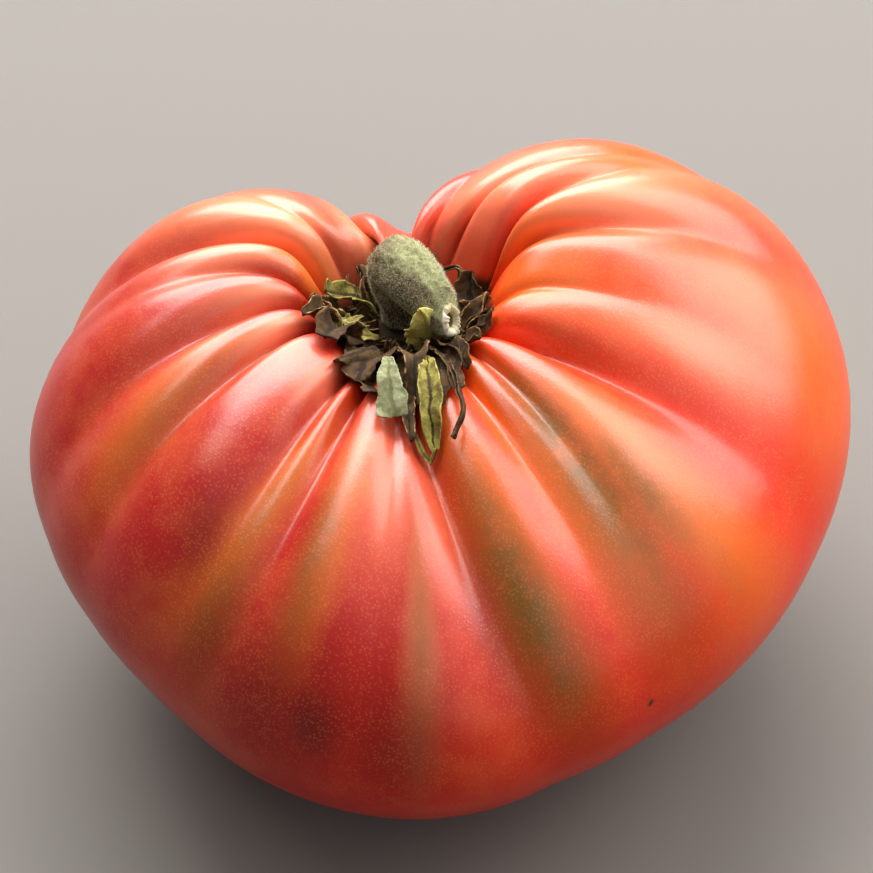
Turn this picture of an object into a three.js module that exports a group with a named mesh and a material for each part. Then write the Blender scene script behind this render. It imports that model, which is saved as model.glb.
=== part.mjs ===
// A ribbed, heart-shaped beefsteak tomato as picked, with its dried calyx and the stub of its stalk.
//
// Millimetres, +Z up. The origin is the centre of the small flat spot that the fruit rests on.
// The deep cleft of the heart is at the back (+Y) and the widest direction is along X.
// The skin is a surface over two numbers: an azimuth about the fruit, in degrees, and a station that
// runs from 0 at the bottom of the stem cavity, over the shoulder and the waist, to 1 under the fruit.

import * as THREE from 'three';

// ---------------------------------------------------------------------------------------------
// Driving dimensions
// ---------------------------------------------------------------------------------------------

const PLAN_RADIUS = 48;               // radius of the fruit in plan before it swells
const PLAN_SWELLS = [                 // where the outline swells or draws in
  { at: 30, by: 7.6, focus: 4 },      // right lobe
  { at: 172, by: 6.2, focus: 3 },     // left lobe
  { at: 98.5, by: -17.5, focus: 14.5 }, // cleft at the back
  { at: 133, by: -2.4, focus: 22 },   // back of the left lobe
  { at: 212, by: -1.2, focus: 10 },
  { at: 262, by: 4.0, focus: 5 },     // front
  { at: 290, by: -0.8, focus: 16 },
  { at: 315, by: -1.2, focus: 5 },    // front right
];
const SHOULDER_HEIGHT = 60;           // height that the profile below is written for
const SHOULDER_SWELLS = [
  { at: 32, by: 6.4, focus: 6 },      // the right lobe stands highest
  { at: 75, by: -3.0, focus: 18 },
  { at: 97, by: -5.0, focus: 50 },    // saddle of the cleft
  { at: 121, by: -3.8, focus: 26 },   // the left lobe drops to the small lobe in the cleft
  { at: 155, by: 1.7, focus: 4 },
  { at: 270, by: -3.0, focus: 1.5 },  // the front shoulder is the lowest
];
const CALYX = new THREE.Vector2(-5.5, 8);  // where the stalk stands in plan
const CAVITY_FLOOR = 49;              // height of the bottom of the stem cavity

// Meridian control points, from the stem cavity to the resting spot. share is a share of the plan radius,
// height is rise + lift * shoulder height, and lean is how far the point moves towards the calyx.
const MERIDIAN = [
  { share: 0.00, rise: CAVITY_FLOOR, lift: 0.00, lean: 1.0 },
  { share: 0.12, rise: CAVITY_FLOOR, lift: 0.00, lean: 1.0 },
  { share: 0.205, rise: 36.6, lift: 0.27, lean: 1.0 },
  { share: 0.25, rise: 9.9, lift: 0.85, lean: 1.0 },
  { share: 0.42, rise: 3.0, lift: 1.00, lean: 0.9 },
  { share: 0.72, rise: 1.5, lift: 0.98, lean: 0.5 },
  { share: 1.00, rise: 0.0, lift: 0.80, lean: 0.1 },
  { share: 1.09, rise: 0.0, lift: 0.53, lean: 0.0 },
  { share: 0.94, rise: 0.0, lift: 0.28, lean: 0.0 },
  { share: 0.70, rise: 0.0, lift: 0.09, lean: 0.0 },
  { share: 0.44, rise: 0.0, lift: 0.00, lean: 0.0 },
  { share: 0.22, rise: 0.0, lift: 0.00, lean: 0.0 },
  { share: 0.00, rise: 0.0, lift: 0.00, lean: 0.0 },
];

// The furrows between the ribs: azimuth at station 0.3, depth, half-width in degrees of azimuth,
// drift in degrees for each unit of station, and the station where the furrow has died out.
const FURROWS = [
  { at: 13.5, depth: 4.4, width: 7, drift: 15, end: 0.60 },
  { at: 29, depth: 3.6, width: 6, drift: 65, end: 0.60 },
  { at: 50, depth: 3.0, width: 6, drift: -60, end: 0.60 },
  { at: 73, depth: 1.5, width: 5, drift: 0, end: 0.70 },
  { at: 92, depth: 4.0, width: 5, drift: 0, end: 0.75 },
  { at: 114, depth: 4.5, width: 5, drift: 0, end: 0.75 },
  { at: 141, depth: 1.5, width: 7, drift: 5, end: 0.60 },
  { at: 161, depth: 5.0, width: 6, drift: 15, end: 0.72 },
  { at: 179, depth: 2.0, width: 6, drift: -25, end: 0.66 },
  { at: 196, depth: 4.0, width: 6, drift: -15, end: 0.70 },
  { at: 214, depth: 3.2, width: 5, drift: -30, end: 0.70 },
  { at: 244, depth: 3.2, width: 6, drift: -80, end: 0.70 },
  { at: 253.5, depth: 3.6, width: 6, drift: -80, end: 0.72 },
  { at: 267, depth: 1.5, width: 5, drift: -30, end: 0.70 },
  { at: 271, depth: 4.5, width: 6, drift: 50, end: 0.78 },
  { at: 293.5, depth: 2.4, width: 7, drift: 35, end: 0.78 },
  { at: 307, depth: 2.0, width: 7, drift: 10, end: 0.72 },
  { at: 326.5, depth: 5.0, width: 9, drift: 60, end: 0.68 },
  { at: 350, depth: 1.2, width: 8, drift: 40, end: 0.60 },
];

// The stalk: it swells up to its knuckle, where it turns to the front right, and ends in a cut face. x and y
// are measured from the calyx and z from the floor of the stem cavity.
const PEDICEL = [
  { x: 0.0, y: 0.0, z: 3.7, radius: 2.5 },
  { x: -0.2, y: 0.4, z: 6.4, radius: 2.8 },
  { x: -0.8, y: 1.4, z: 9.2, radius: 3.5 },
  { x: -0.6, y: 1.6, z: 11.6, radius: 3.9 },
  { x: 0.8, y: -0.6, z: 12.3, radius: 3.8 },
  { x: 2.1, y: -2.7, z: 12.4, radius: 3.5 },
  { x: 3.8, y: -5.2, z: 12.1, radius: 3.0 },
  { x: 5.2, y: -7.1, z: 11.6, radius: 2.4 },
  { x: 6.2, y: -8.2, z: 11.2, radius: 1.7 },
];
// The stalk broke off aslant: the way its end faces, and the share of its length where its rings start to
// turn to that cut.
const STALK_CUT = { x: 0.75, y: -0.5, z: 0.43, from: 0.82 };
const RECEPTACLE = { radius: 3.4, bottom: 0.8, top: 3.2 };

// The sepals, in turn round the calyx. path holds azimuth about the calyx, distance from it and height
// above the skin, and shape says where the blade is widest and how blunt its tip is.
const SEPALS = [
  { path: [[20, 4.2, 1.3], [20, 7.8, 2.4], [27, 10.0, 2.4]], width: 3.2, belly: 0.55, tip: 0.45 },
  { path: [[48, 4.2, 2.4], [46, 7.8, 3.4], [34, 9.2, 3.8]], width: 1.3, belly: 0.35, tip: 0.25 },
  { path: [[72, 4.2, 1.2], [71, 7.2, 1.8], [70, 10.2, 1.9]], width: 2.6, belly: 0.4, tip: 0.25 },
  { path: [[97, 4.2, 1.4], [98, 6.6, 2.3], [100, 8.6, 2.2]], width: 2.2, belly: 0.35, tip: 0.25 },
  { path: [[126, 4.2, 1.6], [128, 6.4, 3.2], [130, 9.0, 4.4]], width: 1.8, belly: 0.45, tip: 0.3 },
  { path: [[152, 4.2, 1.6], [158, 7.4, 2.8], [172, 10.2, 3.0]], width: 2.4, belly: 0.6, tip: 0.8 },
  { path: [[178, 4.2, 2.2], [200, 7.2, 3.8], [216, 10.2, 4.2]], width: 1.6, belly: 0.6, tip: 0.4 },
  { path: [[195, 4.2, 1.2], [201, 9.0, 1.9], [210, 14.4, 2.0]], width: 2.4, belly: 0.6, tip: 0.3 },
  { path: [[215, 4.2, 1.4], [222, 9.2, 1.8], [232, 15.4, 2.2]], width: 2.8, belly: 0.65, tip: 0.45 },
  { path: [[231, 4.2, 2.7], [242.5, 9.5, 4.4], [242.5, 17.0, 3.3]], width: 3.2, belly: 0.6, tip: 0.35 },
  { path: [[243, 4.2, 1.3], [247.5, 10.8, 2.7], [256, 19.6, 3.2]], width: 2.9, belly: 0.7, tip: 0.7 },
  { path: [[257.5, 4.2, 3.2], [262.8, 12.4, 7.2], [266.5, 25.6, 3.6]], width: 3.0, belly: 0.9, tip: 0.95 },
  {
    path: [[275, 4.2, 1.3], [272.5, 11, 3.1], [271.5, 19, 3.6], [273, 27.6, 1.8]],
    width: 1.9, belly: 0.6, tip: 0.3,
  },
  { path: [[282, 5.8, 3.4], [279.8, 9.1, 6.7], [275, 10.8, 10.8]], width: 3.4, belly: 0.45, tip: 0.2 },
  {
    path: [[302, 5.7, 2.8], [288, 13, 2.7], [280, 21.5, 2.7], [278, 28.6, 1.6]],
    width: 3.3, belly: 0.6, tip: 0.3,
  },
  {
    path: [[317, 4.3, 0.8], [302.5, 13, 1.0], [291, 22, 1.5], [283, 29, 1.6]],
    width: 1.3, belly: 0.3, tip: 0.4,
  },
  { path: [[335, 4.3, 1.2], [324, 8.8, 1.8], [330, 13.2, 1.9]], width: 3.0, belly: 0.6, tip: 0.4 },
  { path: [[359, 4.3, 1.3], [350, 7.8, 2.6], [351, 11.0, 2.6]], width: 3.2, belly: 0.55, tip: 0.3 },
];
const SEPAL_THICKNESS = 0.6;
const SEPAL_CUP = 0.25;              // how far a blade's edges rise, as a share of its half-width
const SEPAL_NECK = 0.40;             // width at the receptacle, as a share of a sepal's full width

const SKIN_AROUND = 156;             // facets round the fruit
const SKIN_ALONG = 34;               // facets from the stem cavity to the resting spot
const STALK_AROUND = 14;
const STALK_ALONG = 18;
const SEPAL_ALONG = 10;

// ---------------------------------------------------------------------------------------------
// Shared helpers
// ---------------------------------------------------------------------------------------------

const radians = THREE.MathUtils.degToRad;
const { smoothstep, clamp } = THREE.MathUtils;

// A closed solid through rings of equal length, ordered so that the faces point out when the rings turn
// anticlockwise about the direction they advance in. Each end is closed by a fan about its own centre.
function loft(rings, firstCentre, lastCentre) {
  const around = rings[0].length;
  const points = [...rings.flat(), firstCentre, lastCentre];
  const first = rings.length * around;
  const last = first + 1;
  const faces = [];
  for (let ring = 0; ring + 1 < rings.length; ring++) {
    for (let side = 0; side < around; side++) {
      const next = (side + 1) % around;
      const a = ring * around + side;
      const b = ring * around + next;
      faces.push(a, b, b + around, a, b + around, a + around);
    }
  }
  const end = (rings.length - 1) * around;
  for (let side = 0; side < around; side++) {
    const next = (side + 1) % around;
    faces.push(first, next, side);
    faces.push(last, end + side, end + next);
  }
  const geometry = new THREE.BufferGeometry().setFromPoints(points);
  geometry.setIndex(faces);
  geometry.computeVertexNormals();
  return geometry;
}

function solid(name, geometry, color, roughness) {
  const material = new THREE.MeshStandardMaterial({ color, roughness, metalness: 0 });
  const mesh = new THREE.Mesh(geometry, material);
  mesh.name = name;
  return mesh;
}

// ---------------------------------------------------------------------------------------------
// The fruit
// ---------------------------------------------------------------------------------------------

function swell(base, swells, azimuth) {
  const rise = ({ at, by, focus }) => by * Math.exp(focus * (Math.cos(azimuth - radians(at)) - 1));
  return swells.reduce((sum, item) => sum + rise(item), base);
}

// One point of the meridian: a uniform cubic B-spline, mirrored at the two poles.
function meridian(station) {
  const last = MERIDIAN.length - 1;
  const place = clamp(station, 0, 1) * last;
  const start = Math.min(Math.floor(place), last - 1);
  const f = place - start;
  const weights = [
    (1 - f) ** 3 / 6,
    (3 * f ** 3 - 6 * f ** 2 + 4) / 6,
    (-3 * f ** 3 + 3 * f ** 2 + 3 * f + 1) / 6,
    f ** 3 / 6,
  ];
  const sum = { share: 0, rise: 0, lift: 0, lean: 0 };
  weights.forEach((weight, step) => {
    const index = start - 1 + step;
    const mirrored = index < 0 ? -index : index > last ? 2 * last - index : index;
    const side = index === mirrored ? 1 : -1;
    sum.share += side * weight * MERIDIAN[mirrored].share;
    for (const key of ['rise', 'lift', 'lean']) {
      sum[key] += weight * MERIDIAN[mirrored][key];
    }
  });
  return sum;
}

function smoothBody(azimuth, station) {
  const { share, rise, lift, lean } = meridian(station);
  const radius = swell(PLAN_RADIUS, PLAN_SWELLS, azimuth) * share;
  const height = swell(SHOULDER_HEIGHT, SHOULDER_SWELLS, azimuth);
  return new THREE.Vector3(
    CALYX.x * lean + radius * Math.cos(azimuth),
    CALYX.y * lean + radius * Math.sin(azimuth),
    rise + lift * height,
  );
}

// How far the furrows cut below the smooth body.
function furrowDepth(azimuth, station) {
  const drifting = clamp(station, 0.15, 0.7) - 0.3;
  const spread = 0.34 + 0.90 * smoothstep(station, 0.26, 0.60);
  const open = smoothstep(station, 0.06, 0.26);
  return FURROWS.reduce((sum, { at, depth, width, drift, end }) => {
    const turn = azimuth - radians(at + drift * drifting);
    const away = Math.atan2(Math.sin(turn), Math.cos(turn));
    const reach = radians(width) * spread;
    const round = 0.4 * reach;
    const profile = Math.exp(-(Math.hypot(away, round) - round) / reach);
    return sum + depth * profile * open * smoothstep(end - station, 0, 0.42);
  }, 0);
}

function outward(azimuth, station) {
  const step = 1e-3;
  const above = smoothBody(azimuth, Math.max(station - step, 0));
  const along = smoothBody(azimuth, Math.min(station + step, 1)).sub(above);
  const around = smoothBody(azimuth + step, station).sub(smoothBody(azimuth - step, station));
  return along.cross(around).normalize();
}

function skinPoint(azimuth, station) {
  const cut = outward(azimuth, station).multiplyScalar(-furrowDepth(azimuth, station));
  return smoothBody(azimuth, station).add(cut);
}

function fruitGeometry() {
  const rings = [];
  for (let ring = 1; ring < SKIN_ALONG; ring++) {
    const row = [];
    for (let side = 0; side < SKIN_AROUND; side++) {
      row.push(skinPoint(-2 * Math.PI * side / SKIN_AROUND, ring / SKIN_ALONG));
    }
    rings.push(row);
  }
  return loft(rings, new THREE.Vector3(CALYX.x, CALYX.y, CAVITY_FLOOR), new THREE.Vector3(0, 0, 0));
}

// ---------------------------------------------------------------------------------------------
// The stalk and the disc that it stands on
// ---------------------------------------------------------------------------------------------

function fromCalyx(x, y, z) {
  return new THREE.Vector3(CALYX.x + x, CALYX.y + y, CAVITY_FLOOR + z);
}

function pedicelGeometry() {
  const path = new THREE.CatmullRomCurve3(PEDICEL.map(({ x, y, z }) => fromCalyx(x, y, z)));
  const girth = new THREE.SplineCurve(PEDICEL.map(({ radius }, index) => new THREE.Vector2(index, radius)));
  const frames = path.computeFrenetFrames(STALK_ALONG, false);
  const facing = new THREE.Vector3(STALK_CUT.x, STALK_CUT.y, STALK_CUT.z).normalize();
  const rings = [];
  for (let ring = 0; ring <= STALK_ALONG; ring++) {
    const centre = path.getPointAt(ring / STALK_ALONG);
    const radius = girth.getPoint(path.getUtoTmapping(ring / STALK_ALONG)).y;
    const tangent = frames.tangents[ring];
    const slant = smoothstep(ring / STALK_ALONG, STALK_CUT.from, 1) / tangent.dot(facing);
    const row = [];
    for (let side = 0; side < STALK_AROUND; side++) {
      const turn = 2 * Math.PI * side / STALK_AROUND;
      const spoke = new THREE.Vector3()
        .addScaledVector(frames.normals[ring], radius * Math.cos(turn))
        .addScaledVector(frames.binormals[ring], radius * Math.sin(turn));
      row.push(centre.clone().add(spoke).addScaledVector(tangent, -slant * spoke.dot(facing)));
    }
    rings.push(row);
  }
  return loft(rings, path.getPoint(0), path.getPoint(1));
}

function receptacleGeometry() {
  const { radius, bottom, top } = RECEPTACLE;
  const profile = [
    new THREE.Vector2(0, bottom),
    new THREE.Vector2(0.7 * radius, bottom),
    new THREE.Vector2(radius, bottom + 0.4 * (top - bottom)),
    new THREE.Vector2(0.9 * radius, bottom + 0.8 * (top - bottom)),
    new THREE.Vector2(0.6 * radius, top),
    new THREE.Vector2(0, top),
  ];
  const geometry = new THREE.LatheGeometry(profile, 20);
  geometry.rotateX(Math.PI / 2);
  geometry.translate(CALYX.x, CALYX.y, CAVITY_FLOOR);
  return geometry;
}

// ---------------------------------------------------------------------------------------------
// The sepals
// ---------------------------------------------------------------------------------------------

function heightOfSkin(fruit, x, y) {
  const down = new THREE.Vector3(0, 0, -1);
  const above = new THREE.Vector3(x, y, 2 * SHOULDER_HEIGHT);
  return new THREE.Raycaster(above, down).intersectObject(fruit)[0].point.z;
}

// Width of a blade along its length, as a share of its full width.
function bladeWidth(belly, tip, share) {
  if (share < belly) {
    return SEPAL_NECK + (1 - SEPAL_NECK) * Math.sin(0.5 * Math.PI * share / belly);
  }
  return tip + (1 - tip) * Math.cos(0.5 * Math.PI * (share - belly) / (1 - belly));
}

// A thin cupped blade along its midrib. Each ring runs over the upper face and back under the lower one.
function sepalGeometry(fruit, { path, width, belly, tip }) {
  const points = path.map(([azimuth, distance, clearance]) => {
    const x = CALYX.x + distance * Math.cos(radians(azimuth));
    const y = CALYX.y + distance * Math.sin(radians(azimuth));
    return new THREE.Vector3(x, y, heightOfSkin(fruit, x, y) + clearance);
  });
  const midrib = new THREE.CatmullRomCurve3(points);
  const side = new THREE.Vector3(-Math.sin(radians(path[0][0])), Math.cos(radians(path[0][0])), 0);
  const rings = [];
  for (let ring = 0; ring <= SEPAL_ALONG; ring++) {
    const share = ring / SEPAL_ALONG;
    const centre = midrib.getPointAt(share);
    const tangent = midrib.getTangentAt(share);
    const across = side.clone().addScaledVector(tangent, -side.dot(tangent)).normalize();
    const up = tangent.clone().cross(across);
    const half = 0.5 * width * bladeWidth(belly, tip, share);
    const place = (v, level) => centre.clone()
      .addScaledVector(across, v * half)
      .addScaledVector(up, SEPAL_CUP * half * v * v + level * SEPAL_THICKNESS);
    rings.push([
      place(-1, 0.25), place(-0.5, 0), place(0, 0), place(0.5, 0),
      place(1, 0.25), place(1, 0.75), place(0.5, 1), place(0, 1), place(-0.5, 1), place(-1, 0.75),
    ]);
  }
  const middle = (row) => row[2].clone().lerp(row[7], 0.5);
  return loft(rings, middle(rings[0]), middle(rings[SEPAL_ALONG]));
}

// ---------------------------------------------------------------------------------------------
// The tomato
// ---------------------------------------------------------------------------------------------

const tomato = new THREE.Group();
const fruit = solid('fruit', fruitGeometry(), 0xc8301c, 0.35);
tomato.add(fruit);
tomato.add(solid('receptacle', receptacleGeometry(), 0x4a3c24, 0.9));
tomato.add(solid('pedicel', pedicelGeometry(), 0x7d8460, 0.9));
SEPALS.forEach((sepal, index) => {
  const name = `sepal_${String(index + 1).padStart(2, '0')}`;
  tomato.add(solid(name, sepalGeometry(fruit, sepal), 0x6b6238, 0.9));
});

export default tomato;
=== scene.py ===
"""A ribbed, heart-shaped beefsteak tomato with its dried calyx and bent stalk stub.

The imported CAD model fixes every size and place. This script grows a fine skin over the CAD fruit with the
same kind of surface, models the stalk and the curled sepals, and gives each a procedural material.
Lengths in the tables are millimetres, and everything built from them is in metres.
"""

import math

import bpy
import numpy as np
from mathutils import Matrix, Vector, noise
from mathutils.bvhtree import BVHTree


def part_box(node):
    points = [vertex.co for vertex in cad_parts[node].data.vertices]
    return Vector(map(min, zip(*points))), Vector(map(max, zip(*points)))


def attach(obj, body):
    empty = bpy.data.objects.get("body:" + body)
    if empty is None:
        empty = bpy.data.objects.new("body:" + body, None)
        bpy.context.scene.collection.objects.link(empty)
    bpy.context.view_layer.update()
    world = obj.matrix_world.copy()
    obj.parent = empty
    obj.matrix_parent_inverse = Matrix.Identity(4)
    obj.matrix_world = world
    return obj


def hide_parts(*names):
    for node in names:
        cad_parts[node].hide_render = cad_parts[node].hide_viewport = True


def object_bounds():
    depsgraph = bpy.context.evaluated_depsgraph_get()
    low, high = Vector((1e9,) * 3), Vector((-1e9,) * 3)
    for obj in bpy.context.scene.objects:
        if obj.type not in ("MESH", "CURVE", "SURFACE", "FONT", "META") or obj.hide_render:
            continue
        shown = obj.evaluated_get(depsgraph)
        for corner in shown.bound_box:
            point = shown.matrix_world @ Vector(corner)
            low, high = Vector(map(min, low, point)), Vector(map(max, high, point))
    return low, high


MM = 0.001
BODY = "root"
NOISE_SEED = 1  # vector noise would follow the clock without it

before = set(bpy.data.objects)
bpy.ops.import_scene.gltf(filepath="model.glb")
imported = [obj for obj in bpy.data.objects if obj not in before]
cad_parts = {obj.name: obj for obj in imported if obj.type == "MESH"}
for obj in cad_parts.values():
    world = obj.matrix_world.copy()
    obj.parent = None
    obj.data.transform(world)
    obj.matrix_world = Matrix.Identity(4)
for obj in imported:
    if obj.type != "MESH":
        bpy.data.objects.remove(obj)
CAD_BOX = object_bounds()
CAD_LOW, CAD_HIGH = (Vector(corner) for corner in CAD_BOX)
noise.seed_set(NOISE_SEED)

# --------------------------------------------------
# Camera, first, because it depends only on the frame
# --------------------------------------------------

CAMERA_ELEVATION = 45.0
CAMERA_DISTANCE = 0.45
VIEW_WIDTH = 0.117  # width of the view at the target
SENSOR_WIDTH_MM = 36.0
TARGET_SHARE = Vector((0.493, 0.528, 0.572))  # where the camera looks, as a share of the CAD box


def add_camera():
    size = CAD_HIGH - CAD_LOW
    target = Vector(low + share * side for low, share, side in zip(CAD_LOW, TARGET_SHARE, size))
    tilt = math.radians(CAMERA_ELEVATION)
    back = Vector((0, -math.cos(tilt), math.sin(tilt)))
    data = bpy.data.cameras.new("camera")
    data.sensor_width = SENSOR_WIDTH_MM
    data.lens = SENSOR_WIDTH_MM * CAMERA_DISTANCE / VIEW_WIDTH
    data.clip_start = 0.01
    camera = bpy.data.objects.new("camera", data)
    camera.location = target + CAMERA_DISTANCE * back
    camera.rotation_euler = back.to_track_quat("Z", "Y").to_euler()
    bpy.context.scene.collection.objects.link(camera)
    bpy.context.scene.camera = camera


add_camera()

# --------------------------------------------------
# The skin's surface: an azimuth about the fruit, and a station from the stem cavity (0) to the base (1)
# --------------------------------------------------

PLAN_RADIUS = 48.0
PLAN_SWELLS = [  # azimuth, by how much, how narrow
    (30, 7.6, 4),
    (172, 6.2, 3),
    (98.5, -17.5, 14.5),
    (133, -2.4, 22),
    (212, -1.2, 10),
    (262, 4.0, 5),
    (290, -0.8, 16),
    (315, -1.2, 5),
]
SHOULDER_HEIGHT = 60.0
SHOULDER_SWELLS = [
    (32, 6.4, 6),
    (75, -3.0, 18),
    (97, -5.0, 50),
    (121, -3.8, 26),
    (155, 1.7, 4),
    (270, -3.0, 1.5),
]
CALYX_X, CALYX_Y, CAVITY_FLOOR = -5.5, 8.0, 49.0

# Meridian control points: share of the plan radius, rise, share of the shoulder height, lean to the calyx
MERIDIAN = np.array([
    (0.00, CAVITY_FLOOR, 0.00, 1.0),
    (0.12, CAVITY_FLOOR, 0.00, 1.0),
    (0.205, 36.6, 0.27, 1.0),
    (0.25, 9.9, 0.85, 1.0),
    (0.42, 3.0, 1.00, 0.9),
    (0.72, 1.5, 0.98, 0.5),
    (1.00, 0.0, 0.80, 0.1),
    (1.09, 0.0, 0.53, 0.0),
    (0.94, 0.0, 0.28, 0.0),
    (0.70, 0.0, 0.09, 0.0),
    (0.44, 0.0, 0.00, 0.0),
    (0.22, 0.0, 0.00, 0.0),
    (0.00, 0.0, 0.00, 0.0),
])

# Furrows: azimuth at FURROW_STATION, depth, half-width in degrees, drift in degrees a station, and the
# station where it ends
FURROWS = [
    (13.5, 4.4, 7, 15, 0.60),
    (29, 3.6, 6, 65, 0.60),
    (50, 3.0, 6, -60, 0.60),
    (73, 1.5, 5, 0, 0.70),
    (92, 4.0, 5, 0, 0.75),
    (114, 4.5, 5, 0, 0.75),
    (141, 1.5, 7, 5, 0.60),
    (161, 5.0, 6, 15, 0.72),
    (179, 2.0, 6, -25, 0.66),
    (196, 4.0, 6, -15, 0.70),
    (214, 3.2, 5, -30, 0.70),
    (244, 3.2, 6, -80, 0.70),
    (253.5, 3.6, 6, -80, 0.72),
    (267, 1.5, 5, -30, 0.70),
    (271, 4.5, 6, 50, 0.78),
    (293.5, 2.4, 7, 35, 0.78),
    (307, 2.0, 7, 10, 0.72),
    (326.5, 5.0, 9, 60, 0.68),
    (350, 1.2, 8, 40, 0.60),
]

FURROW_STATION = 0.3
DRIFT_STATIONS = (0.15, 0.7)     # a furrow drifts only between these stations
DEEPENING = (0.06, 0.26)         # stations over which it sinks to its full depth
FADING = 0.42                    # stations over which it fades out before its end
WIDENING = (0.26, 0.60)          # stations over which its width grows
NARROW, WIDER = 0.34, 0.90       # width at the calyx, and what is added by the end, as shares
FURROW_ROUNDING = 0.4            # roundness of its bottom, as a share of its half-width

SKIN_AROUND, SKIN_ALONG = 460, 205
SMALL_STEP = 1e-3                # for the slope of the surface, in radians and in stations


def smoothstep(value, low, high):
    share = np.clip((value - low) / (high - low), 0, 1)
    return share * share * (3 - 2 * share)


def wrapped(turn):
    return np.arctan2(np.sin(turn), np.cos(turn))


def unit(vectors):
    return vectors / np.maximum(np.linalg.norm(vectors, axis=-1, keepdims=True), 1e-12)


def swell(base, swells, azimuth):
    bumps = (by * np.exp(focus * (np.cos(azimuth - math.radians(at)) - 1)) for at, by, focus in swells)
    return base + sum(bumps)


def meridian(station):
    """Columns of MERIDIAN along a uniform cubic B-spline, mirrored at both poles."""
    last = len(MERIDIAN) - 1
    place = np.clip(station, 0, 1) * last
    start = np.minimum(place.astype(int), last - 1)
    f = place - start
    weights = [
        (1 - f) ** 3 / 6,
        (3 * f**3 - 6 * f**2 + 4) / 6,
        (-3 * f**3 + 3 * f**2 + 3 * f + 1) / 6,
        f**3 / 6,
    ]
    total = np.zeros(station.shape + (MERIDIAN.shape[1],))
    for step, weight in enumerate(weights):
        index = start - 1 + step
        mirrored = np.where(index < 0, -index, np.where(index > last, 2 * last - index, index))
        row = MERIDIAN[mirrored].copy()
        row[..., 0] *= np.where(index == mirrored, 1, -1)
        total += weight[..., None] * row
    return total


def smooth_body(azimuth, station):
    share, rise, lift, lean = np.moveaxis(meridian(station), -1, 0)
    radius = swell(PLAN_RADIUS, PLAN_SWELLS, azimuth) * share
    height = swell(SHOULDER_HEIGHT, SHOULDER_SWELLS, azimuth)
    return np.stack([
        CALYX_X * lean + radius * np.cos(azimuth),
        CALYX_Y * lean + radius * np.sin(azimuth),
        rise + lift * height,
    ], -1)


def furrow_depth(azimuth, station):
    total = np.zeros_like(station)
    spread = NARROW + WIDER * smoothstep(station, *WIDENING)
    drifting = np.clip(station, *DRIFT_STATIONS) - FURROW_STATION
    sinking = smoothstep(station, *DEEPENING)
    for at, depth, width, drift, end in FURROWS:
        away = wrapped(azimuth - np.radians(at + drift * drifting))
        reach = math.radians(width) * spread
        rounding = FURROW_ROUNDING * reach
        profile = np.exp(-(np.hypot(away, rounding) - rounding) / reach)
        total += depth * profile * sinking * smoothstep(end - station, 0, FADING)
    return total


def skin_point(azimuth, station):
    """Points of the furrowed skin, in millimetres."""
    after = smooth_body(azimuth, np.minimum(station + SMALL_STEP, 1))
    before = smooth_body(azimuth, np.maximum(station - SMALL_STEP, 0))
    around = smooth_body(azimuth + SMALL_STEP, station) - smooth_body(azimuth - SMALL_STEP, station)
    outward = unit(np.cross(after - before, around))
    return smooth_body(azimuth, station) - furrow_depth(azimuth, station)[..., None] * outward


# --------------------------------------------------
# Mesh helpers
# --------------------------------------------------

CURVE_STEPS = 24  # points between two control points, before they are spaced evenly


def mesh_object(name, vertices, faces, attributes=None):
    """A smooth mesh object from vertices in metres, with named point attributes."""
    mesh = bpy.data.meshes.new(name)
    mesh.from_pydata([tuple(v) for v in np.asarray(vertices, float)], [], [tuple(f) for f in faces])
    mesh.update()
    for key, values in (attributes or {}).items():
        layer = mesh.attributes.new(key, "FLOAT", "POINT")
        layer.data.foreach_set("value", np.asarray(values, np.float32))
    mesh.polygons.foreach_set("use_smooth", [True] * len(mesh.polygons))
    obj = bpy.data.objects.new(name, mesh)
    bpy.context.scene.collection.objects.link(obj)
    return obj


def loft_faces(rings, around):
    """Quads between rings of equal length, with a fan at each end about the two last vertices."""
    ring = np.arange(rings - 1)[:, None] * around
    side = np.arange(around)[None, :]
    after = (side + 1) % around
    quads = np.stack([ring + side, ring + after, ring + after + around, ring + side + around], -1)
    first, end = rings * around, (rings - 1) * around
    fans = [(first, (s + 1) % around, s) for s in range(around)]
    fans += [(first + 1, end + s, end + (s + 1) % around) for s in range(around)]
    return [tuple(q) for q in quads.reshape(-1, 4)] + fans


def smooth_path(points, samples):
    """A Catmull-Rom curve through points of any dimension, at equal steps of its length in space."""
    points = np.asarray(points, float)
    padded = np.vstack([2 * points[0] - points[1], points, 2 * points[-1] - points[-2]])
    t = np.linspace(0, 1, CURVE_STEPS, endpoint=False)[:, None]
    fine = []
    for a, b, c, d in zip(padded, padded[1:], padded[2:], padded[3:]):
        bend, turn = 2 * a - 5 * b + 4 * c - d, 3 * b - a - 3 * c + d
        fine.append(0.5 * (2 * b + (c - a) * t + bend * t**2 + turn * t**3))
    fine = np.vstack(fine + [points[-1:]])
    length = np.concatenate([[0], np.cumsum(np.linalg.norm(np.diff(fine[:, :3], axis=0), axis=1))])
    wanted = np.linspace(0, length[-1], samples)
    return np.stack([np.interp(wanted, length, column) for column in fine.T], -1)


def rough(points, scale, seed):
    """Smooth noise from -1 to 1 at each point, with features about 1 / scale wide."""
    shift = Vector((seed, 1.7 * seed, -seed))
    return np.array([noise.noise(Vector(p) * scale + shift) for p in points])


def lumpy(points, layers):
    """Layers of noise added up, each as (height, scale, seed)."""
    return sum(height * rough(points, scale, seed) for height, scale, seed in layers)


# --------------------------------------------------
# Material helpers
# --------------------------------------------------


def srgb(red, green, blue):
    """Linear colour with alpha from 0-255 screen values."""
    def linear(value):
        value /= 255
        return value / 12.92 if value <= 0.04045 else ((value + 0.055) / 1.055) ** 2.4
    return (linear(red), linear(green), linear(blue), 1.0)


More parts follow.
